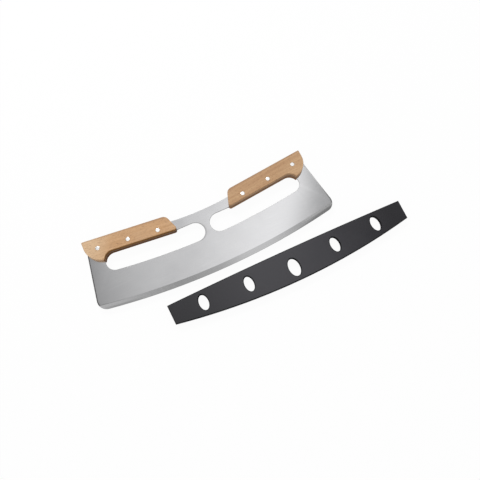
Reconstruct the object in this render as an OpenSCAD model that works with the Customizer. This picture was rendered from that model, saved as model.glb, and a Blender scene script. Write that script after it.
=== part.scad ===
// Rocking pizza knife: a stainless plate blade with a curved edge, two riveted
// wooden handles and a loose plastic edge guard, shown taken off.
// X runs along the blade, Y from the cutting edge to the handles, Z out of the
// blade's face. The origin is the lowest point of the cutting edge, in the middle
// of the blade's thickness. The knife lies flat on its back handle scales.

/* [Knife] */
// Height from the rocking point to the handles' outer top corners
knife_h = 112.9; // [95:0.1:135]

/* [Blade] */
// Thickness of the steel plate
blade_t = 1.8; // [1.2:0.1:3]
// Width between the two end lines, measured level with the rocking point
blade_w = 358.8; // [300:1:420]
// Radius of the curved cutting edge
edge_r = 960; // [700:10:1400]
// Lean of each blade end, wider towards the edge
end_lean = 9; // [0:0.5:15]
// Rounding of the two lower blade corners
corner_r = 14; // [4:1:20]
// Width of the ground band along the edge
bevel_w = 7.5; // [3:0.5:12]
// Thickness left at the edge itself
edge_t = 0.2; // [0.1:0.05:0.6]

/* [Finger slots] */
// Height of a slot under the handle's lower inner corner: room for the fingers
finger_gap = 26.9; // [22:0.1:32]
// Width of the web between the two slots
web_w = 9.2; // [6:0.2:14]
// Radius of each slot's inner end
slot_inner_r = 13.9; // [10:0.1:15]
// Distance from the handle's outer end in to the centre of the slot's round end
slot_end_in = 33.3; // [28:0.1:40]

/* [Strap] */
// Rise of the strap's top, at the middle, over the handles' lower inner corners
strap_rise = 13.7; // [10:0.1:18]
// Radius of the shallow dip in the strap's top
strap_dip_r = 400; // [300:10:900]

/* [Handles] */
// Thickness over both scales and the tang
handle_t = 15; // [11:0.5:20]
// Width of a handle, square to its length
handle_w = 23.2; // [20:0.2:28]
// Rise of the handles towards their outer ends
handle_tilt = 6; // [3:0.1:8]
// Distance from the middle to a handle's lower inner corner
handle_in = 38.5; // [30:0.5:50]
// Slant of the inner end from upright
inner_slant = 19; // [5:1:30]
// Rounding of the upper inner corner
inner_top_r = 9; // [3:0.5:10]
// Rounding of the lower inner corner
inner_foot_r = 3; // [1:0.5:5]
// How far a handle stops short of the blade's end line, level with the rocking point
handle_inset = 13.8; // [10:0.1:18]
// Radius of the palm swell at the outer end
swell_r = 26; // [20:0.5:34]
// Distance down from the handle's outer top corner to the start of the swell
swell_drop = 10.1; // [5:0.1:14]
// Rounding of the upper outer corner
outer_top_r = 1.5; // [0.5:0.5:3]

/* [Rivets] */
// Distance of the inner rivet out from the handle's lower inner corner
rivet_in = 25.7; // [15:0.1:30]
// Distance of the outer rivet in from the handle's outer end
rivet_out = 18; // [12:0.1:24]
// Height of the inner rivet over the handle's lower inner corner
rivet_up = 9.4; // [7:0.1:14]
// Rise of the rivet line
rivet_tilt = 7.2; // [5:0.1:9]
// Diameter of a rivet head
rivet_head_d = 6; // [5:0.5:8]
// Thickness of a rivet head
rivet_head_t = 1.5; // [1:0.1:2]
// Outer diameter of the rivet's tube half
rivet_tube_d = 4.2; // [3.6:0.1:4.8]
// Diameter of the rivet's pin half
rivet_pin_d = 2.6; // [2:0.1:3]
// Depth of the tube's bore left open past the pin's tip
rivet_spare = 0.8; // [0.4:0.1:1.5]
// Radial room round a rivet's head and tube
rivet_clear = 0.05; // [0.02:0.01:0.15]
// Radial bite of the pin in its tube
rivet_bite = 0.01; // [0.005:0.005:0.02]

/* [Edge guard] */
// How far the guard's top reaches past the blade at each end
guard_spare = 0.9; // [0.5:0.1:5]
// Height of the guard at the middle
guard_h = 45.4; // [40:0.2:48]
// Bow of the guard's top over its whole length
guard_bow = 2.2; // [0.5:0.1:4]
// Inward lean of the guard's ends, towards the keel
guard_lean = 2.5; // [0:0.5:6]
// Thickness of each side wall
guard_wall = 1.3; // [1:0.1:2]
// Room on each side of the blade
guard_side_gap = 0.3; // [0.2:0.05:0.6]
// Room between the cutting edge and the floor of the channel
guard_seat_gap = 0.4; // [0.2:0.1:1]
// Thickness of the keel that joins the walls below the edge
guard_keel = 3; // [2:0.2:5]
// Spacing of the oval windows
window_pitch = 65; // [55:1:70]
// Width of the middle window
window_mid_w = 16; // [12:0.5:20]
// Height of the middle window
window_mid_h = 25.4; // [20:0.5:28]
// Distance of the middle window below the middle of the guard's height
window_mid_drop = 3.6; // [0:0.2:5]
// Width of the four other windows
window_w = 12.9; // [10:0.1:16]
// Height of the four other windows
window_h = 21.5; // [16:0.5:23]
// Distance of the other windows above the middle of the guard's height
window_rise = 0.6; // [0:0.1:2]
// How far the removed guard lies to the right of its fitted place
aside_x = 82.7; // [0:0.1:150]
// How far the removed guard lies out from the edge
aside_y = 54.8; // [48:0.1:120]

/* [Hidden] */
PLACES = ["inner", "middle", "outer"];

steel = "#c4c6c9";
beech = "#c49a74";
polished = "#e6e7e9";
charcoal = "#454447";

// Facets of a small circle and of a circle of about a metre
$fn = 64;
LARGE_FN = 1440;
// Straight steps in each half of the guard's bowed top
BOW_STEPS = 16;
// Overshoot of a cutting solid past the face it cuts
over = 1;

// Blade outline
end_normal = [cos(end_lean), sin(end_lean)];
end_up = [-sin(end_lean), cos(end_lean)];
end_reach = blade_w / 2 * cos(end_lean);
edge_centre = [0, edge_r];

// Where a lower corner's rounding is centred: corner_r inside the end line and the edge
corner_base = end_normal * (end_reach - corner_r) - edge_centre;
corner_slide = -corner_base * end_up
    - sqrt(pow(corner_base * end_up, 2) - corner_base * corner_base + pow(edge_r - corner_r, 2));
corner_c = corner_base + end_up * corner_slide + edge_centre;
corner_on_end = corner_c + end_normal * corner_r;
corner_on_edge = corner_c + (corner_c - edge_centre) * (corner_r / (edge_r - corner_r));

// Handle lines: the lower and the upper long edge rise by handle_tilt
rise = tan(handle_tilt);
handle_rise = handle_w / cos(handle_tilt);
handle_out = blade_w / 2 - handle_inset;
handle_foot = knife_h - handle_rise - (handle_out - handle_in) * rise;
swell_top = knife_h - swell_drop;
swell_c = [handle_out - swell_r, swell_top];

// Slot ends. The inner circle touches the slot's floor; the outer one touches
// the floor and the handle's lower edge.
slot_floor = handle_foot - finger_gap;
slot_r = edge_r - slot_floor;
slot_outer_x = handle_out - slot_end_in;
slot_inner_x = web_w / 2 + slot_inner_r;
slot_inner_c = [slot_inner_x, edge_r - sqrt(pow(slot_r - slot_inner_r, 2) - pow(slot_inner_x, 2))];
slot_a = slot_r - cos(handle_tilt) * lower_y(slot_outer_x);
slot_b = 2 * (edge_r + slot_a * cos(handle_tilt));
slot_c = pow(slot_outer_x, 2) + pow(edge_r, 2) - pow(slot_a, 2);
slot_outer_y = 2 * slot_c / (slot_b + sqrt(pow(slot_b, 2) - 4 * pow(sin(handle_tilt), 2) * slot_c));
slot_outer_c = [slot_outer_x, slot_outer_y];
slot_outer_r = (lower_y(slot_outer_x) - slot_outer_y) * cos(handle_tilt);

// Where the handle's lower edge runs into the round end of the slot
cove_start = slot_outer_c + slot_outer_r * [-sin(handle_tilt), cos(handle_tilt)];

// Top of the strap, and the rivets' line
strap_top = handle_foot + strap_rise;
rivet_x = handle_in + rivet_in;
rivet_step = (handle_out - rivet_out - rivet_x) / (len(PLACES) - 1);

// Heights through the handle's thickness
scale_t = (handle_t - blade_t) / 2;
seat_z = handle_t / 2 - rivet_head_t;

// Guard
guard_floor_r = edge_r + guard_seat_gap;
guard_keel_r = guard_floor_r + guard_keel;
guard_gap = blade_t + 2 * guard_side_gap;
guard_t = guard_gap + 2 * guard_wall;
guard_crest = guard_h - guard_seat_gap - guard_keel;
guard_len = 2 * (corner_c.x + corner_r + guard_spare);
guard_drop = guard_h + over;

function lower_y(x) = handle_foot + (x - handle_in) * rise;
function upper_y(x) = lower_y(x) + handle_rise;
function end_line_x(y) = (end_reach - y * sin(end_lean)) / cos(end_lean);
function arc_y(centre_y, r, x) = centre_y - sqrt(pow(r, 2) - pow(x, 2));
function rivet_at(i) = [rivet_x, handle_foot + rivet_up] + i * rivet_step * [1, tan(rivet_tilt)];
function unit(v) = v / norm(v);
function mirrored(p) = [-p.x, p.y];
// Centre of a circle of radius r that touches both sides of the corner p, on the way to a and b
function fillet_centre(p, a, b, r) =
    let (u = unit(a - p), v = unit(b - p), half = acos(u * v) / 2)
    p + unit(u + v) * (r / sin(half));
function foot_on(p, a, c) = p + unit(a - p) * ((c - p) * unit(a - p));
// The two points at which that circle touches the sides to a and b
function fillet_feet(p, a, b, r) =
    let (c = fillet_centre(p, a, b, r)) [foot_on(p, a, c), foot_on(p, b, c)];

module both_sides() {
    children();
    mirror([1, 0, 0]) children();
}

module rounded_corner(p, a, b, r, h) {
    translate(fillet_centre(p, a, b, r)) cylinder(r = r, h = h);
}

// Plate with the outline of a right-hand scale, h thick: the tang shares it
module handle_plate(h) {
    inner_foot = [handle_in, handle_foot];
    inner_top_x = handle_in + handle_rise * tan(inner_slant) / (1 - rise * tan(inner_slant));
    inner_top = [inner_top_x, upper_y(inner_top_x)];
    outer_top = [handle_out, upper_y(handle_out)];
    swell_start = [handle_out, swell_top];
    difference() {
        union() {
            linear_extrude(h) polygon(concat(
                fillet_feet(inner_foot, cove_start, inner_top, inner_foot_r),
                fillet_feet(inner_top, inner_foot, outer_top, inner_top_r),
                fillet_feet(outer_top, inner_top, swell_start, outer_top_r),
                [swell_start, swell_c, cove_start]
            ));
            rounded_corner(inner_foot, cove_start, inner_top, inner_foot_r, h);
            rounded_corner(inner_top, inner_foot, outer_top, inner_top_r, h);
            rounded_corner(outer_top, inner_top, swell_start, outer_top_r, h);
            intersection() {
                translate(swell_c) cylinder(r = swell_r, h = h, $fn = 2 * $fn);
                linear_extrude(h) polygon([
                    cove_start,
                    slot_outer_c,
                    [handle_out + over, slot_outer_c.y],
                    [handle_out + over, swell_top],
                    swell_c
                ]);
            }
        }
        translate([slot_outer_c.x, slot_outer_c.y, -over])
            cylinder(r = slot_outer_r, h = h + 2 * over, $fn = 2 * $fn);
    }
}

// Cutter for a right-hand finger slot, up from z = 0, before the tang closes over its top
module slot_cutter(h) {
    low = slot_floor - slot_inner_r;
    top = slot_inner_c.y + slot_inner_r;
    intersection() {
        union() {
            translate(slot_inner_c) cylinder(r = slot_inner_r, h = h, $fn = 2 * $fn);
            translate(slot_outer_c) cylinder(r = slot_outer_r, h = h, $fn = 2 * $fn);
            linear_extrude(h) polygon([
                [slot_inner_c.x, low],
                [slot_inner_c.x, top],
                [handle_in + 2 * inner_foot_r, top],
                cove_start,
                slot_outer_c,
                [slot_outer_c.x, low]
            ]);
        }
        translate(edge_centre) cylinder(r = slot_r, h = h, $fn = LARGE_FN);
    }
}

// Plate up to the strap's top, h thick, with its rounded lower corners
module blade_plate(h) {
    strap_end_x = handle_in + inner_top_r + (strap_top - handle_foot) * tan(inner_slant);
    dip_centre = [0, strap_top + strap_dip_r];
    shoulder = [end_line_x(swell_top - inner_top_r), swell_top - inner_top_r];
    strap_corner = [strap_end_x, arc_y(dip_centre.y, strap_dip_r, strap_end_x)];
    difference() {
        union() {
            intersection() {
                linear_extrude(h) polygon([
                    corner_on_edge - [0, corner_r], corner_on_edge, corner_on_end, shoulder, strap_corner,
                    mirrored(strap_corner), mirrored(shoulder), mirrored(corner_on_end),
                    mirrored(corner_on_edge), mirrored(corner_on_edge) - [0, corner_r]
                ]);
                translate(edge_centre) cylinder(r = edge_r, h = h, $fn = LARGE_FN);
            }
            both_sides() translate(corner_c) cylinder(r = corner_r, h = h);
        }
        translate([dip_centre.x, dip_centre.y, -over])
            cylinder(r = strap_dip_r, h = h + 2 * over, $fn = LARGE_FN);
    }
}

// Ring of metal ground off one face along the edge
module bevel_ring() {
    slope = (blade_t - edge_t) / 2 / bevel_w;
    translate([edge_centre.x, edge_centre.y, 0])
        rotate_extrude($fn = LARGE_FN)
            polygon([
                [edge_r - bevel_w, blade_t / 2],
                [edge_r + over, edge_t / 2 - over * slope],
                [edge_r + over, blade_t],
                [edge_r - bevel_w, blade_t]
            ]);
}

module rivet_holes(d, z, h) {
    for (i = [0 : len(PLACES) - 1])
        translate([rivet_at(i).x, rivet_at(i).y, z]) cylinder(d = d, h = h);
}

module blade() {
    color(steel) difference() {
        translate([0, 0, -blade_t / 2]) {
            difference() {
                blade_plate(blade_t);
                both_sides() translate([0, 0, -over]) slot_cutter(blade_t + 2 * over);
            }
            both_sides() handle_plate(blade_t);
        }
        bevel_ring();
        mirror([0, 0, 1]) bevel_ring();
        both_sides() rivet_holes(rivet_tube_d + 2 * rivet_clear, -blade_t, 2 * blade_t);
    }
}

// The right-hand front scale; the other three are its mirror images
module scale_half() {
    color(beech) difference() {
        translate([0, 0, blade_t / 2]) handle_plate(scale_t);
        rivet_holes(rivet_tube_d + 2 * rivet_clear, 0, handle_t);
        rivet_holes(rivet_head_d + 2 * rivet_clear, seat_z, handle_t);
    }
}

// Back half of a rivet: a head with a bored tube that crosses both scales
module rivet_tube(i) {
    bore_floor = -seat_z + rivet_head_t / 2;
    color(polished) translate([rivet_at(i).x, rivet_at(i).y, 0]) difference() {
        union() {
            translate([0, 0, -handle_t / 2]) cylinder(d = rivet_head_d, h = rivet_head_t);
            translate([0, 0, -handle_t / 2]) cylinder(d = rivet_tube_d, h = seat_z + handle_t / 2 - rivet_clear);
        }
        translate([0, 0, bore_floor]) cylinder(d = rivet_pin_d, h = handle_t);
    }
}

// Front half of a rivet: a head with a pin pressed into the tube
module rivet_pin(i) {
    pin_end = -seat_z + rivet_head_t / 2 + rivet_spare;
    color(polished) translate([rivet_at(i).x, rivet_at(i).y, 0]) {
        translate([0, 0, seat_z]) cylinder(d = rivet_head_d, h = rivet_head_t);
        translate([0, 0, pin_end]) cylinder(d = rivet_pin_d + 2 * rivet_bite, h = handle_t / 2 - pin_end);
    }
}

// Middle of the guard's height at x, in the guard's fitted place
function guard_mid_y(x) = (arc_y(edge_r, guard_keel_r, x) + guard_top_y(x)) / 2;
function guard_top_y(x) = guard_crest - guard_bow * pow(2 * x / guard_len, 2);
function oval(w, h) = [for (a = [0 : 9 : 351]) [w / 2 * cos(a), h / 2 * sin(a)]];

module guard_outline() {
    half = guard_len / 2;
    foot = half - guard_drop * tan(guard_lean);
    intersection() {
        polygon(concat(
            [[-foot, guard_crest - guard_drop]],
            [for (i = [-BOW_STEPS : BOW_STEPS]) let (x = half * i / BOW_STEPS) [x, guard_top_y(x)]],
            [[foot, guard_crest - guard_drop]]
        ));
        translate(edge_centre) circle(guard_keel_r, $fn = LARGE_FN);
    }
}

module guard_windows() {
    translate([0, guard_mid_y(0) - window_mid_drop]) polygon(oval(window_mid_w, window_mid_h));
    for (i = [-2, -1, 1, 2])
        translate([i * window_pitch, guard_mid_y(i * window_pitch) + window_rise])
            polygon(oval(window_w, window_h));
}

module blade_guard() {
    color(charcoal) translate([aside_x, -aside_y, 0]) difference() {
        linear_extrude(guard_t, center = true) guard_outline();
        translate([edge_centre.x, edge_centre.y, -guard_gap / 2])
            cylinder(r = guard_floor_r, h = guard_gap, $fn = LARGE_FN);
        linear_extrude(guard_t + over, center = true) guard_windows();
    }
}

blade();
scale_half();  // right_front_scale
mirror([0, 0, 1]) scale_half();  // right_back_scale
mirror([1, 0, 0]) scale_half();  // left_front_scale
mirror([1, 0, 0]) mirror([0, 0, 1]) scale_half();  // left_back_scale
for (i = [0 : len(PLACES) - 1]) {
    rivet_tube(i);
    rivet_pin(i);
    mirror([1, 0, 0]) rivet_tube(i);
    mirror([1, 0, 0]) rivet_pin(i);
}
blade_guard();
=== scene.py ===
import math

import bmesh
import bpy
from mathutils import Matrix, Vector


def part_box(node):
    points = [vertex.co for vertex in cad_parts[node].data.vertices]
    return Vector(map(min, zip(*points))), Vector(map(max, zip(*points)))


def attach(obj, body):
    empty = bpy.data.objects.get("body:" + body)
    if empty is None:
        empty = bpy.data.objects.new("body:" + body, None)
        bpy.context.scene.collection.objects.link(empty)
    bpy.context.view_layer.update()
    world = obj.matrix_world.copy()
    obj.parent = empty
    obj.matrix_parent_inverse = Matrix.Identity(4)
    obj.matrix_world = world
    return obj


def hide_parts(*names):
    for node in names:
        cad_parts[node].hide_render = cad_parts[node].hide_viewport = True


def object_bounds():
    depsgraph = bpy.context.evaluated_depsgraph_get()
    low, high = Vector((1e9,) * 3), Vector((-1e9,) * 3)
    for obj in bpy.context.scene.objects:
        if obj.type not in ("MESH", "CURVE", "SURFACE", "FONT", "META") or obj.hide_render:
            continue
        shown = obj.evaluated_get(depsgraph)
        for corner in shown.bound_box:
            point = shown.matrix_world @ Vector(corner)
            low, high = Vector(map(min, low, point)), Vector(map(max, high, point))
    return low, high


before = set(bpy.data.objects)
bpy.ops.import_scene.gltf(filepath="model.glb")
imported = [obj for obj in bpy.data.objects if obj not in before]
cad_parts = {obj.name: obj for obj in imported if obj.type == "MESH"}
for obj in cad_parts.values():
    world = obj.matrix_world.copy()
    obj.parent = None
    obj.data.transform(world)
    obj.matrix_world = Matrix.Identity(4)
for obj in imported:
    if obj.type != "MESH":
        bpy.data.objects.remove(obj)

cad_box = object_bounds()


# The blade is one plate of stainless steel, 1.8 mm thick, with two finger slots, the strap
# between the handles and the tang under them. It is cut out by laser, brushed to a satin
# along its length, and ground thin along the curved edge.

# Metres: X runs along the blade, Y up from the edge, and Z out of the front face.
plate_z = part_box("blade")[1].z  # the plate's front face
edge_r = 0.96  # radius of the curved edge, whose centre is that far up
slots_x = 0.150  # the slots lie within this, and the plate's two ends outside it
strap_x = 0.036  # the strap shows within this, between the scales
scales_y = 0.074  # the scales lie above this
ends_y = 0.082  # the free edges of the plate's ends have their middles below this
tang_y = 0.095  # the plate's ends run into the tang's ends about this high
band_width = 0.009  # the ground band lies within this of the edge
end_easing = 0.0016  # how wide the plate's ends are eased
end_easing_depth = 0.0004
slot_easing = 0.0003

# A face is flat where its normal.z is over the first of these, and upright under the second.
FLAT = 0.9999
UPRIGHT = 0.3

# A colour mix: its setting, and the numbers of its inputs and of its output.
COLOURS = {"data_type": "RGBA"}
SHARE, A, B, MIXED = 0, 6, 7, 2

# The numbers of a map range's inputs: between start and end it goes from one value to another.
START, END, FROM, TO = 1, 2, 3, 4


def linear(code):
    """An sRGB hex colour as the linear colour that the shaders use."""
    levels = [int(code[i : i + 2], 16) / 255 for i in (0, 2, 4)]
    return [v / 12.92 if v <= 0.04045 else ((v + 0.055) / 1.055) ** 2.4 for v in levels] + [1]


def add(tree, kind, inputs, **settings):
    """Adds a shader node and gives its outputs.

    An input, by name or number, is a number, a colour or another node's output.
    """
    made = tree.nodes.new("ShaderNode" + kind)
    for name, value in settings.items():
        setattr(made, name, value)
    for name, value in inputs.items():
        if isinstance(value, bpy.types.NodeSocket):
            tree.links.new(value, made.inputs[name])
        else:
            made.inputs[name].default_value = value
    return made.outputs


def new_material(name):
    """A material with an empty node tree."""
    made = bpy.data.materials.new(name)
    made.use_nodes = True
    made.node_tree.nodes.clear()
    return made


def copy_for_work(node, name):
    """A piece from a copy of a CAD node's mesh, its triangles merged, left open in edit mode."""
    piece = bpy.data.objects.new(name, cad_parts[node].data.copy())
    bpy.context.collection.objects.link(piece)
    piece.data.materials.clear()
    bpy.ops.object.select_all(action="DESELECT")
    bpy.context.view_layer.objects.active = piece
    piece.select_set(True)
    bpy.ops.object.mode_set(mode="EDIT")
    bpy.ops.mesh.select_all(action="SELECT")
    bpy.ops.mesh.customdata_custom_splitnormals_clear()
    bpy.ops.mesh.remove_doubles(threshold=0.000002)
    bpy.ops.mesh.dissolve_limited(angle_limit=math.radians(0.01))
    return piece


def pick_edges(piece, wanted):
    """Selects the edges between two faces for which wanted(middle, normal, normal) is true."""
    bpy.ops.mesh.select_all(action="DESELECT")
    bpy.ops.mesh.select_mode(type="EDGE")
    mesh = bmesh.from_edit_mesh(piece.data)
    for edge in mesh.edges:
        if len(edge.link_faces) == 2:
            middle = (edge.verts[0].co + edge.verts[1].co) / 2
            if wanted(middle, edge.link_faces[0].normal, edge.link_faces[1].normal):
                edge.select_set(True)
    bmesh.update_edit_mesh(piece.data)


def is_rim(height, middle, first, second):
    """True on an edge near that height, front or back, where a flat face meets a wall."""
    low, high = sorted((abs(first.z), abs(second.z)))
    return high > FLAT and low < UPRIGHT and abs(middle.z) > 0.95 * height


def ease(width, segments):
    """Rounds the selected edges."""
    bpy.ops.mesh.bevel(offset=width, segments=segments, affect="EDGES", loop_slide=False)


def smooth_and_close(piece, angle):
    """Leaves edit mode and shades the rounded edges smooth, while the flat faces stay flat."""
    bpy.ops.object.mode_set(mode="OBJECT")
    bpy.ops.object.shade_smooth_by_angle(angle=math.radians(angle), keep_sharp_edges=True)
    bpy.ops.object.modifier_add(type="WEIGHTED_NORMAL")
    piece.modifiers[-1].keep_sharp = True
    bpy.ops.object.modifier_apply(modifier=piece.modifiers[-1].name)


# Satin stainless: fine lines along the blade, which the eye sees as a soft stretched sheen,
# and faint cloudy marks from handling. The lines are 0.2 mm apart and drawn 0.8 mm apart.
satin = new_material("brushed_stainless_steel")
tree = satin.node_tree
place = add(tree, "TexCoord", {})["Object"]
along = add(tree, "Mapping", {"Vector": place, "Scale": (18, 1250, 1250)})["Vector"]
lines = add(tree, "TexNoise", {"Vector": along, "Scale": 1, "Detail": 3, "Roughness": 0.6})["Fac"]
clouds = add(tree, "TexNoise", {"Vector": place, "Scale": 38, "Detail": 3, "Roughness": 0.55})["Fac"]
tone = add(tree, "Mix", {SHARE: lines, A: linear("d3d3d4"), B: linear("e9e9ea")}, **COLOURS)[MIXED]
tone = add(tree, "Mix", {SHARE: clouds, A: linear("d1d1d3"), B: tone}, **COLOURS)[MIXED]
# Two discs with soft rims are painted greyer, at the left slot's inner end and on the strap
# beside the left handle: painted shade, standing in for darker reflections there.
for x, y, full_r, rim_r, share in (
    (-0.0167, 0.0626, 0.0135, 0.0147, 0.36),
    (-0.042, 0.084, 0.010, 0.022, 0.17),
):
    away = add(tree, "Mapping", {"Vector": place, "Location": (-x, -y, 0), "Scale": (1, 1, 0)})["Vector"]
    away = add(tree, "VectorMath", {0: away}, operation="LENGTH")["Value"]
    disc_shade = add(tree, "MapRange", {"Value": away, START: full_r, END: rim_r, FROM: share, TO: 0.0})[0]
    tone = add(tree, "Mix", {SHARE: disc_shade, A: tone, B: linear("8c8c8e")}, **COLOURS)[MIXED]
rough = add(tree, "MapRange", {"Value": clouds, START: 0.3, END: 0.7, FROM: 0.09, TO: 0.13})[0]
fine = add(tree, "Bump", {"Height": lines, "Strength": 0.12, "Distance": 0.00004})["Normal"]
shader = add(tree, "BsdfPrincipled", {
    "Base Color": tone, "Metallic": 1.0, "Roughness": rough, "Normal": fine,
})["BSDF"]
add(tree, "OutputMaterial", {"Surface": shader})

# Ground stainless: the wheel crosses the edge, so its marks run from the plate to the edge
# and the band looks greyer and duller. The marks are 0.1 mm apart and drawn 1 mm apart.
ground = new_material("ground_stainless_steel")
tree = ground.node_tree
place = add(tree, "TexCoord", {})["Object"]
across = add(tree, "Mapping", {"Vector": place, "Scale": (1000, 60, 60)})["Vector"]
marks = add(tree, "TexNoise", {"Vector": across, "Scale": 1, "Detail": 3, "Roughness": 0.6})["Fac"]
tone = add(tree, "Mix", {SHARE: marks, A: linear("cfcfd0"), B: linear("dadadb")}, **COLOURS)[MIXED]
# The edge itself is whetted, in a dull strip 1 mm wide that widens towards the right end;
# its darkness is partly painted shade, for the steeper bevel that the plate lacks.
# Reach is the distance from the centre of the edge's arc, so it is edge_r at the edge.
at = add(tree, "SeparateXYZ", {"Vector": place})
reach = add(tree, "Mapping", {"Vector": place, "Location": (0, -edge_r, 0), "Scale": (1, 1, 0)})["Vector"]
reach = add(tree, "VectorMath", {0: reach}, operation="LENGTH")["Value"]
widen = add(tree, "MapRange", {"Value": at["X"], START: 0.105, END: slots_x, FROM: 0.0, TO: 0.0028})[0]
strip = add(tree, "Math", {0: reach, 1: widen}, operation="ADD")[0]
strip = add(tree, "MapRange", {"Value": strip, START: edge_r - 0.0010, END: edge_r - 0.0003})[0]
share = add(tree, "MapRange", {"Value": at["X"], START: 0.08, END: 0.14, FROM: 0.45, TO: 0.7})[0]
strip = add(tree, "Math", {0: strip, 1: share}, operation="MULTIPLY")[0]
tone = add(tree, "Mix", {SHARE: strip, A: tone, B: linear("adadad")}, **COLOURS)[MIXED]
# Painted shade, standing in for darker reflections, darkens the band left of the middle
# over its whole width, and near the left end within 3 mm of the edge.
for middle_x, full_x, rim_x, width, share in (
    (-0.035, 0.030, 0.062, 0.0100, 0.27),
    (-0.146, 0.010, 0.034, 0.0032, 0.40),
):
    away = add(tree, "Math", {0: at["X"], 1: middle_x}, operation="SUBTRACT")[0]
    away = add(tree, "Math", {0: away}, operation="ABSOLUTE")[0]
    band_shade = add(tree, "MapRange", {"Value": away, START: full_x, END: rim_x, FROM: share, TO: 0.0})[0]
    inner_r = edge_r - width
    outside = add(tree, "MapRange", {"Value": reach, START: inner_r, END: inner_r + 0.0008})[0]
    band_shade = add(tree, "Math", {0: band_shade, 1: outside}, operation="MULTIPLY")[0]
    tone = add(tree, "Mix", {SHARE: band_shade, A: tone, B: linear("8f8f90")}, **COLOURS)[MIXED]
# More than 5 mm from the edge, the band's right end is painted brighter: a painted
# highlight, standing in for a brighter reflection.
inner = {"Value": reach, START: edge_r - 0.0050, END: edge_r - 0.0043, FROM: 1.0, TO: 0.0}
inner = add(tree, "MapRange", inner)[0]
band_highlight = add(tree, "MapRange", {"Value": at["X"], START: 0.115, END: 0.140, FROM: 0.0, TO: 0.9})[0]
band_highlight = add(tree, "Math", {0: inner, 1: band_highlight}, operation="MULTIPLY")[0]
tone = add(tree, "Mix", {SHARE: band_highlight, A: tone, B: linear("f4f4f4")}, **COLOURS)[MIXED]
# At the left end a dark line, 0.8 mm wide, runs 7.4 mm in from the edge and fades out
# towards the middle.
dark_line = add(tree, "Math", {0: reach, 1: edge_r - 0.0074, 2: 0.0004}, operation="COMPARE")[0]
left_fade = add(tree, "MapRange", {"Value": at["X"], START: -0.168, END: -0.128, FROM: 0.8, TO: 0.0})[0]
dark_line = add(tree, "Math", {0: dark_line, 1: left_fade}, operation="MULTIPLY")[0]
tone = add(tree, "Mix", {SHARE: dark_line, A: tone, B: linear("6a6a6a")}, **COLOURS)[MIXED]
rough = add(tree, "MapRange", {"Value": marks, START: 0.3, END: 0.7, FROM: 0.15, TO: 0.20})[0]
fine = add(tree, "Bump", {"Height": marks, "Strength": 0.08, "Distance": 0.00003})["Normal"]
shader = add(tree, "BsdfPrincipled", {
    "Base Color": tone, "Metallic": 1.0, "Roughness": rough, "Normal": fine,
})["BSDF"]
add(tree, "OutputMaterial", {"Surface": shader})

# Laser-cut stainless: the cut wall and its broken corner keep a dull grey scale, with fine
# upright ripples 0.2 mm apart and drawn 1 mm apart. The grey is darkened further as painted
# shade, so the plate looks outlined.
cut = new_material("laser_cut_stainless_steel")
tree = cut.node_tree
place = add(tree, "TexCoord", {})["Object"]
upright = add(tree, "Mapping", {"Vector": place, "Scale": (1000, 1000, 120)})["Vector"]
ripples = add(tree, "TexNoise", {"Vector": upright, "Scale": 1, "Detail": 2})["Fac"]
tone = add(tree, "Mix", {SHARE: ripples, A: linear("5a5959"), B: linear("737272")}, **COLOURS)[MIXED]
# The rim towards the top of the right end is painted lighter, as a painted highlight, as far
# as the handle, where the tang stays dark.
at = add(tree, "SeparateXYZ", {"Vector": place})
lighter = add(tree, "MapRange", {"Value": at["Y"], START: 0.025, END: 0.060, FROM: 0.0, TO: 0.7})[0]
right_end = add(tree, "MapRange", {"Value": at["X"], START: 0.12, END: slots_x})[0]
lighter = add(tree, "Math", {0: lighter, 1: right_end}, operation="MULTIPLY")[0]
bare = {"Value": at["Y"], START: tang_y - 0.0015, END: tang_y + 0.0015, FROM: 1.0, TO: 0.0}
bare = add(tree, "MapRange", bare)[0]
lighter = add(tree, "Math", {0: lighter, 1: bare}, operation="MULTIPLY")[0]
tone = add(tree, "Mix", {SHARE: lighter, A: tone, B: linear("efeeee")}, **COLOURS)[MIXED]
# The slots' walls are painted a lighter grey, with less painted shade, where the fingers go.
# Where they pass between the scales they are painted deep brown, as painted shade like that on
# the sawn walls of the scales.
out = add(tree, "Math", {0: at["X"]}, operation="ABSOLUTE")[0]
strap = {"Value": out, START: strap_x, END: strap_x + 0.002, FROM: 1.0, TO: 0.0}
strap = add(tree, "MapRange", strap)[0]
below = {"Value": at["Y"], START: scales_y - 0.0005, END: scales_y + 0.0005, FROM: 1.0, TO: 0.0}
below = add(tree, "MapRange", below)[0]
lighter_wall = add(tree, "Math", {0: strap, 1: below}, operation="MAXIMUM")[0]
wall = add(tree, "Mix", {SHARE: lighter_wall, A: linear("3f3429"), B: linear("9d9c9c")}, **COLOURS)[MIXED]
inside = {"Value": out, START: slots_x - 0.0025, END: slots_x - 0.0005, FROM: 0.9, TO: 0.0}
inside = add(tree, "MapRange", inside)[0]
tone = add(tree, "Mix", {SHARE: inside, A: tone, B: wall}, **COLOURS)[MIXED]
rough = add(tree, "MapRange", {"Value": ripples, START: 0.3, END: 0.7, FROM: 0.36, TO: 0.48})[0]
fine = add(tree, "Bump", {"Height": ripples, "Strength": 0.2, "Distance": 0.00005})["Normal"]
shader = add(tree, "BsdfPrincipled", {
    "Base Color": tone, "Metallic": 1.0, "Roughness": rough, "Normal": fine,
})["BSDF"]
add(tree, "OutputMaterial", {"Surface": shader})

blade = copy_for_work("blade", "blade_plate")
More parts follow.
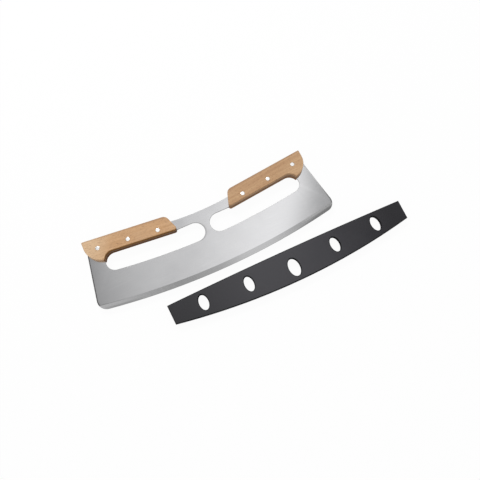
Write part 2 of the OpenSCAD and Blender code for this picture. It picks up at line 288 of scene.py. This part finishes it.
# The easing of the ends is wider than it is deep, so the plate is stretched upwards meanwhile.
stretch = end_easing / end_easing_depth
bpy.ops.transform.resize(value=(1, 1, stretch), center_override=(0, 0, 0))
pick_edges(blade, lambda p, a, b: is_rim(stretch * plate_z, p, a, b)
           and abs(p.x) > slots_x and p.y < ends_y)
ease(end_easing, 2)
bpy.ops.mesh.select_all(action="SELECT")
bpy.ops.transform.resize(value=(1, 1, 1 / stretch), center_override=(0, 0, 0))
pick_edges(blade, lambda p, a, b: is_rim(plate_z, p, a, b)
           and abs(p.x) < slots_x and (p.y < scales_y or abs(p.x) < strap_x))
ease(slot_easing, 2)
# The faces of the ground band meet the plate at a small angle, which stays a crisp line.
pick_edges(blade, lambda p, a, b: 3 < math.degrees(a.angle(b)) < 9 and abs(p.z) > 0.95 * plate_z)
bpy.ops.mesh.mark_sharp()
smooth_and_close(blade, 50)
for finish in (satin, ground, cut):
    blade.data.materials.append(finish)
for face in blade.data.polygons:
    # Level faces are satin, those near the edge that lean by under 12 degrees are ground, and
    # all others are cut.
    level = abs(face.normal.z)
    in_band = math.hypot(face.center.x, face.center.y - edge_r) > edge_r - band_width
    in_band = in_band and level > 0.98 and abs(face.normal.x) < 0.05
    face.material_index = 0 if level > 0.99995 else 1 if in_band else 2
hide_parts("blade")
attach(blade, "knife")


# Four handle scales of beech, 6.6 mm thick: sawn to the outline of the tang, drilled for the
# rivets, sanded with eased outer corners and oiled. The two of one handle come from one board.

handle_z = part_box("left_front_scale")[1].z  # the handles' front face
scale_easing = 0.0007
rise = 0.12  # the handles rise by this share of their length, going outwards
cove_x = 0.1465  # the wall over the finger slot ends within this
hole_rim_r = 0.0045  # the rims of the rivet holes lie within this of their axis and stay sharp
rivets = [f"{hand}_{spot}_rivet" for hand in ("left", "right") for spot in ("inner", "middle", "outer")]

# Each board's pale and deep tones, the share of sapwood at its outer end, and by how many
# degrees its grain leans, as its handle does.
boards = {
    "left": {"pale": "daae7e", "deep": "c39461", "sap": 0.65, "lean": 6},
    "right": {"pale": "cea87b", "deep": "bb9066", "sap": 0.15, "lean": -6},
}


def oiled_beech(name, pale, deep, sap, lean):
    """Oiled beech for one handle: tan, with brown fibres, growth bands and small dark flecks."""
    made = new_material(name)
    tree = made.node_tree
    place = add(tree, "TexCoord", {})["Object"]
    turned = add(tree, "Mapping", {"Vector": place, "Rotation": (0, 0, math.radians(lean))})["Vector"]
    # Fibres 0.3 mm wide and some 30 mm long, drawn 1.2 mm wide.
    long = add(tree, "Mapping", {"Vector": turned, "Scale": (32, 800, 500)})["Vector"]
    fibres = add(tree, "TexNoise", {"Vector": long, "Scale": 1, "Detail": 4, "Roughness": 0.65})["Fac"]
    # Growth bands about 7 mm apart, cut nearly flat, so they wander, and paler patches 40 mm wide.
    patches = add(tree, "TexNoise", {"Vector": turned, "Scale": 26, "Detail": 2})["Fac"]
    board = add(tree, "Mapping", {"Vector": turned, "Scale": (7, 150, 60)})["Vector"]
    bands = add(tree, "TexNoise", {"Vector": board, "Scale": 1, "Detail": 2, "Distortion": 1.2})["Fac"]
    # Flecks where the rays come out, 4 mm by 0.4 mm, drawn 0.7 mm wide.
    short = add(tree, "Mapping", {"Vector": turned, "Scale": (260, 1400, 900)})["Vector"]
    flecks = add(tree, "TexNoise", {"Vector": short, "Scale": 1, "Detail": 1})["Fac"]
    flecks = add(tree, "MapRange", {"Value": flecks, START: 0.58, END: 0.70, FROM: 0.0, TO: 0.55})[0]
    tone = add(tree, "MapRange", {"Value": bands, START: 0.3, END: 0.7})[0]
    tone = add(tree, "Mix", {SHARE: tone, A: linear(deep), B: linear(pale)}, **COLOURS)[MIXED]
    streak = add(tree, "MapRange", {"Value": fibres, START: 0.25, END: 0.75, FROM: 0.35, TO: 0.0})[0]
    tone = add(tree, "Mix", {SHARE: streak, A: tone, B: linear("96694a")}, **COLOURS)[MIXED]
    patch = add(tree, "MapRange", {"Value": patches, START: 0.45, END: 0.75, FROM: 0.0, TO: 0.35})[0]
    tone = add(tree, "Mix", {SHARE: patch, A: tone, B: linear("c9a784")}, **COLOURS)[MIXED]
    # The outer end of the board runs out into paler sapwood.
    at = add(tree, "SeparateXYZ", {"Vector": place})
    out = add(tree, "Math", {0: at["X"]}, operation="ABSOLUTE")[0]
    end = add(tree, "Math", {0: patches, 1: 0.05, 2: out}, operation="MULTIPLY_ADD")[0]
    end = add(tree, "MapRange", {"Value": end, START: 0.145, END: 0.190, FROM: 0.0, TO: sap})[0]
    tone = add(tree, "Mix", {SHARE: end, A: tone, B: linear("e1c29c")}, **COLOURS)[MIXED]
    tone = add(tree, "Mix", {SHARE: flecks, A: tone, B: linear("8a5c3c")}, **COLOURS)[MIXED]
    # The eased edges are painted darker, most of all along the top: painted shade on the
    # turning edges.
    eased = add(tree, "Math", {0: at["Z"]}, operation="ABSOLUTE")[0]
    eased = {"Value": eased, START: handle_z - 0.0005, END: handle_z, FROM: 1.0, TO: 0.0}
    eased = add(tree, "MapRange", eased)[0]
    height = add(tree, "Math", {0: out, 1: -rise, 2: at["Y"]}, operation="MULTIPLY_ADD")[0]
    topward = add(tree, "MapRange", {"Value": height, START: 0.085, END: 0.090, FROM: 0.15, TO: 0.85})[0]
    eased = add(tree, "Math", {0: eased, 1: topward}, operation="MULTIPLY")[0]
    tone = add(tree, "Mix", {SHARE: eased, A: tone, B: linear("7d5236")}, **COLOURS)[MIXED]
    # The wood is painted a little darker along the top: painted shade.
    top_shade = {"Value": height, START: 0.0905, END: 0.0940, FROM: 0.0, TO: 0.40}
    top_shade = add(tree, "MapRange", top_shade)[0]
    tone = add(tree, "Mix", {SHARE: top_shade, A: tone, B: linear("7d5236")}, **COLOURS)[MIXED]
    rough = add(tree, "MapRange", {"Value": fibres, START: 0.3, END: 0.7, FROM: 0.56, TO: 0.44})[0]
    relief = add(tree, "Math", {0: fibres, 1: flecks}, operation="SUBTRACT")[0]
    fine = add(tree, "Bump", {"Height": relief, "Strength": 0.25, "Distance": 0.00012})["Normal"]
    shader = add(tree, "BsdfPrincipled", {
        "Base Color": tone, "Roughness": rough, "IOR": 1.5, "Normal": fine,
    })["BSDF"]
    add(tree, "OutputMaterial", {"Surface": shader})
    return made


# Sawn beech is rough and matte. Its walls over the slots carry painted shade: a deep brown,
# deepest on the back scales and palest on the right handle's front scale.
# The saw's marks run along the handle, 0.3 mm apart, drawn 1.1 mm apart.
sawn = new_material("oiled_beech_sawn_side")
tree = sawn.node_tree
place = add(tree, "TexCoord", {})["Object"]
level = add(tree, "Mapping", {"Vector": place, "Scale": (60, 60, 900)})["Vector"]
kerf = add(tree, "TexNoise", {"Vector": level, "Scale": 1, "Detail": 3})["Fac"]
at = add(tree, "SeparateXYZ", {"Vector": place})
front = add(tree, "MapRange", {"Value": at["Z"], START: -0.001, END: 0.004})[0]
left_shade = add(tree, "Mix", {SHARE: front, A: linear("744a24"), B: linear("94683a")}, **COLOURS)[MIXED]
right_shade = add(tree, "Mix", {SHARE: front, A: linear("a07650"), B: linear("c8a280")}, **COLOURS)[MIXED]
right_handle = add(tree, "MapRange", {"Value": at["X"], START: -0.01, END: 0.01})[0]
tone = add(tree, "Mix", {SHARE: right_handle, A: left_shade, B: right_shade}, **COLOURS)[MIXED]
marks = add(tree, "MapRange", {"Value": kerf, START: 0.3, END: 0.7, FROM: 0.4, TO: 0.0})[0]
tone = add(tree, "Mix", {SHARE: marks, A: tone, B: linear("4a2f18")}, **COLOURS)[MIXED]
rough = add(tree, "MapRange", {"Value": kerf, START: 0.3, END: 0.7, FROM: 0.92, TO: 0.8})[0]
fine = add(tree, "Bump", {"Height": kerf, "Strength": 0.3, "Distance": 0.0001})["Normal"]
shader = add(tree, "BsdfPrincipled", {
    "Base Color": tone, "Roughness": rough, "IOR": 1.5, "Specular IOR Level": 0.05, "Normal": fine,
})["BSDF"]
add(tree, "OutputMaterial", {"Surface": shader})

heads = []
for rivet in rivets:
    low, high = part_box(f"{rivet}_pin")
    heads.append((low + high) / 2)

for hand, board in boards.items():
    beech = oiled_beech(f"oiled_beech_{hand}", **board)
    for side in ("front", "back"):
        scale = copy_for_work(f"{hand}_{side}_scale", f"{hand}_{side}_beech_scale")
        pick_edges(scale, lambda p, a, b: is_rim(handle_z, p, a, b)
                   and min(math.hypot(p.x - c.x, p.y - c.y) for c in heads) > hole_rim_r)
        ease(scale_easing, 3)
        smooth_and_close(scale, 40)
        scale.data.materials.append(beech)
        scale.data.materials.append(sawn)
        for face in scale.data.polygons:
            # The walls that look down at the finger slot are left as they were sawn, with their painted
            # shade.
            over_slot = face.normal.y < -0.3 and abs(face.center.x) < cove_x
            face.material_index = 1 if over_slot and abs(face.normal.z) < UPRIGHT else 0
        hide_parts(f"{hand}_{side}_scale")
        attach(scale, "knife")


# Six cutlery rivets of aluminium, each a tube half from the back and a pin half from the
# front, pressed together and ground flush with the wood, which leaves bright round heads.

head_easing = 0.00045

# Polished aluminium: near white, with faint hairlines 0.1 mm apart, drawn 0.5 mm apart.
bright = new_material("polished_aluminium")
tree = bright.node_tree
place = add(tree, "TexCoord", {})["Object"]
along = add(tree, "Mapping", {"Vector": place, "Scale": (300, 2000, 300)})["Vector"]
lines = add(tree, "TexNoise", {"Vector": along, "Scale": 1, "Detail": 2})["Fac"]
tone = add(tree, "Mix", {SHARE: lines, A: linear("f4f4f3"), B: linear("fbfbfa")}, **COLOURS)[MIXED]
rough = add(tree, "MapRange", {"Value": lines, START: 0.3, END: 0.7, FROM: 0.24, TO: 0.32})[0]
fine = add(tree, "Bump", {"Height": lines, "Strength": 0.1, "Distance": 0.00003})["Normal"]
shader = add(tree, "BsdfPrincipled", {
    "Base Color": tone, "Metallic": 1.0, "Roughness": rough, "Normal": fine,
})["BSDF"]
add(tree, "OutputMaterial", {"Surface": shader})

for rivet in rivets:
    for name in (f"{rivet}_tube", f"{rivet}_pin"):
        half = copy_for_work(name, f"{name}_polished")
        pick_edges(half, lambda p, a, b: is_rim(handle_z, p, a, b))
        ease(head_easing, 3)
        smooth_and_close(half, 40)
        half.data.materials.append(bright)
        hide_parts(name)
        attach(half, "knife")


# The edge guard is one bow of black ABS, moulded as a channel that slips over the
# edge, with five oval windows through it. Its outer corners come rounded from the mould.

guard_low, guard_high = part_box("blade_guard")
guard_easing = 0.0011

# Moulded ABS: charcoal, with the soft sheen of a finely spark-eroded mould. Its grain is
# 0.1 mm and is drawn 0.6 mm wide.
moulded = new_material("moulded_black_abs")
tree = moulded.node_tree
place = add(tree, "TexCoord", {})["Object"]
grain = add(tree, "TexNoise", {"Vector": place, "Scale": 1600, "Detail": 2})["Fac"]
flow = add(tree, "TexNoise", {"Vector": place, "Scale": 30, "Detail": 3})["Fac"]
tone = add(tree, "Mix", {SHARE: flow, A: linear("2e2d33"), B: linear("353439")}, **COLOURS)[MIXED]
# The ends are painted a shade deeper: painted shade, standing in for the sheen that fades
# towards them.
at = add(tree, "SeparateXYZ", {"Vector": place})
guard_x = (guard_low.x + guard_high.x) / 2
off = add(tree, "Math", {0: at["X"], 1: guard_x}, operation="SUBTRACT")[0]
off = add(tree, "Math", {0: off}, operation="ABSOLUTE")[0]
off = add(tree, "MapRange", {"Value": off, START: 0.05, END: 0.15})[0]
tone = add(tree, "Mix", {SHARE: off, A: tone, B: linear("1e1d22")}, **COLOURS)[MIXED]
rough = add(tree, "MapRange", {"Value": flow, START: 0.3, END: 0.7, FROM: 0.20, TO: 0.26})[0]
fine = add(tree, "Bump", {"Height": grain, "Strength": 0.2, "Distance": 0.00008})["Normal"]
shader = add(tree, "BsdfPrincipled", {
    "Base Color": tone, "Roughness": rough, "IOR": 1.58, "Normal": fine,
})["BSDF"]
add(tree, "OutputMaterial", {"Surface": shader})

# Moulded ABS for the sides and the rounded corners, from a coarser part of the mould: quite
# dull, and painted darker as painted shade along the outline. Its grain is drawn 0.9 mm wide.
coarse = new_material("moulded_black_abs_side")
tree = coarse.node_tree
place = add(tree, "TexCoord", {})["Object"]
grain = add(tree, "TexNoise", {"Vector": place, "Scale": 1100, "Detail": 2})["Fac"]
tone = add(tree, "Mix", {SHARE: grain, A: linear("0c0c0e"), B: linear("141417")}, **COLOURS)[MIXED]
rough = add(tree, "MapRange", {"Value": grain, START: 0.3, END: 0.7, FROM: 0.62, TO: 0.72})[0]
fine = add(tree, "Bump", {"Height": grain, "Strength": 0.25, "Distance": 0.0001})["Normal"]
shader = add(tree, "BsdfPrincipled", {
    "Base Color": tone, "Roughness": rough, "IOR": 1.54, "Specular IOR Level": 0.15, "Normal": fine,
})["BSDF"]
add(tree, "OutputMaterial", {"Surface": shader})

guard = copy_for_work("blade_guard", "blade_guard_moulding")
pick_edges(guard, lambda p, a, b: is_rim(guard_high.z, p, a, b))
ease(guard_easing, 4)
smooth_and_close(guard, 40)
guard.data.materials.append(moulded)
guard.data.materials.append(coarse)
for face in guard.data.polygons:
    face.material_index = 0 if abs(face.normal.z) > 0.99 else 1
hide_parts("blade_guard")
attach(guard, "guard")


# The studio: a white floor that the handles lie on, a soft bright panel overhead that the
# brushed steel mirrors, one large lamp from behind the handles, and the camera.

floor_size = 8
lamp_size = (0.9, 0.45)
lamp_place = (0.0, 1.3, 1.35)
lamp_watts = 14.3

# The camera's place, aim and lens were fitted to the photograph.
camera_place = (-0.05446, -0.15913, 0.64485)
camera_aim = Vector((0.12882, 0.27527, -0.9527))
camera_film = 36  # millimetres, as the lens
camera_lens = 36.945

# Matt white paint. The camera, and what mirrors the floor, sees it nearly evenly lit, so that
# only a faint shadow of the knife shows.
white = new_material("white_floor_paint")
tree = white.node_tree
place = add(tree, "TexCoord", {})["Object"]
patches = add(tree, "TexNoise", {"Vector": place, "Scale": 3, "Detail": 2})["Fac"]
tone = add(tree, "Mix", {SHARE: patches, A: linear("f4f4f4"), B: linear("f8f8f8")}, **COLOURS)[MIXED]
paint = add(tree, "BsdfDiffuse", {"Color": tone})["BSDF"]
glow = add(tree, "Emission", {"Color": (1, 1, 1, 1), "Strength": 1.0})["Emission"]
ray = add(tree, "LightPath", {})
seen = add(tree, "Math", {0: ray["Is Camera Ray"], 1: ray["Is Glossy Ray"]}, operation="MAXIMUM")[0]
seen = add(tree, "Math", {0: seen, 1: ray["Is Transmission Ray"]}, operation="MAXIMUM")[0]
seen = add(tree, "Math", {0: seen, 1: 0.95}, operation="MULTIPLY")[0]
shader = add(tree, "MixShader", {0: seen, 1: paint, 2: glow})["Shader"]
add(tree, "OutputMaterial", {"Surface": shader})
bpy.ops.object.select_all(action="DESELECT")
bpy.ops.mesh.primitive_plane_add(size=floor_size, location=(0, 0, cad_box[0].z))
floor = bpy.context.object
floor.name = "floor"
floor.data.materials.append(white)

# The room. Right and back say where a direction meets a level sheet, one unit overhead.
world = bpy.data.worlds.new("studio")
bpy.context.scene.world = world
world.use_nodes = True
tree = world.node_tree
tree.nodes.clear()
way = add(tree, "SeparateXYZ", {"Vector": add(tree, "TexCoord", {})["Generated"]})
up = add(tree, "Math", {0: way["Z"], 1: 0.05}, operation="MAXIMUM")[0]
right = add(tree, "Math", {0: way["X"], 1: up}, operation="DIVIDE")[0]
back = add(tree, "Math", {0: way["Y"], 1: up}, operation="DIVIDE")[0]
# The panel hangs over the right half. It is brightest along a line that passes panel_right
# at panel_back, ends sharply to the right of that line, and fades to the left. The line runs
# straight back as far as bend_back, and from there it slants to the right.
panel_right = 0.2156
panel_back = 0.28
bend_back = 0.25
lean = add(tree, "Math", {0: back, 1: bend_back}, operation="MAXIMUM")[0]
lean = add(tree, "Math", {0: lean, 1: panel_back}, operation="SUBTRACT")[0]
tilt = add(tree, "MapRange", {"Value": right, START: 0.0, END: 0.2, FROM: 0.0, TO: -0.77})[0]
slant = add(tree, "Math", {0: right, 1: panel_right}, operation="SUBTRACT")[0]
slant = add(tree, "Math", {0: lean, 1: tilt, 2: slant}, operation="MULTIPLY_ADD")[0]
slant = add(tree, "MapRange", {"Value": slant, START: -1.0, END: 1.0})[0]
panel = add(tree, "ValToRGB", {"Fac": slant})["Color"]
ramp = panel.node.color_ramp
ramp.elements[0].position = 0.10
ramp.elements[0].color = (0.5, 0.5, 0.5, 1)
ramp.elements[1].position = 0.80
ramp.elements[1].color = (0.6, 0.6, 0.6, 1)
for stop, grey in (
    # The dim left side and the slow rise to the panel
    (0.25, 0.26), (0.29, 0.26), (0.32, 0.43), (0.341, 0.49), (0.355, 0.56), (0.385, 0.57), (0.40, 0.60),
    # The panel, its sharp right edge, and the dark beyond it
    (0.44, 0.74), (0.48, 0.86), (0.51, 0.91), (0.530, 0.70), (0.540, 0.47), (0.56, 0.37), (0.60, 0.26),
    (0.64, 0.21), (0.68, 0.42),
):
    ramp.elements.new(stop).color = (grey, grey, grey, 1)
# In front, which the ground band mirrors, the room shows less of the panel and a bright wall
# on the far left.
wall = add(tree, "MapRange", {"Value": right, START: -0.18, END: -0.10, FROM: 0.80, TO: 0.04})[0]
share = add(tree, "MapRange", {"Value": right, START: -0.05, END: 0.15, FROM: 0.45, TO: 0.28})[0]
dim = add(tree, "Mix", {SHARE: share, A: panel, B: wall}, **COLOURS)[MIXED]
behind = add(tree, "MapRange", {"Value": back, START: 0.07, END: 0.16})[0]
level = add(tree, "Mix", {SHARE: behind, A: dim, B: panel}, **COLOURS)[MIXED]
# Near the horizon the room is an even grey.
low = add(tree, "MapRange", {"Value": way["Z"], START: 0.05, END: 0.35, FROM: 1.0, TO: 0.0})[0]
level = add(tree, "Mix", {SHARE: low, A: level, B: (0.73, 0.73, 0.73, 1)}, **COLOURS)[MIXED]
# Looked at straight, the room is plain white.
soft = add(tree, "Background", {"Color": level, "Strength": 1.3})["Background"]
plain = add(tree, "Background", {"Color": (1, 1, 1, 1), "Strength": 1.0})["Background"]
ray = add(tree, "LightPath", {})
seen = add(tree, "Math", {0: ray["Is Camera Ray"], 1: ray["Is Transmission Ray"]}, operation="MAXIMUM")[0]
shader = add(tree, "MixShader", {0: seen, 1: soft, 2: plain})["Shader"]
add(tree, "OutputWorld", {"Surface": shader})

lamp = bpy.data.objects.new("soft_lamp", bpy.data.lights.new("soft_lamp", "AREA"))
bpy.context.collection.objects.link(lamp)
lamp.data.shape = "RECTANGLE"
lamp.data.size, lamp.data.size_y = lamp_size
lamp.data.energy = lamp_watts
lamp.location = lamp_place
lamp.rotation_euler = (-lamp.location).to_track_quat("-Z", "Y").to_euler()

camera = bpy.data.objects.new("camera", bpy.data.cameras.new("camera"))
bpy.context.collection.objects.link(camera)
camera.location = camera_place
camera.rotation_euler = camera_aim.to_track_quat("-Z", "Y").to_euler()
camera.data.sensor_width = camera_film
camera.data.lens = camera_lens
bpy.context.scene.camera = camera
bpy.context.scene.view_settings.view_transform = "Standard"
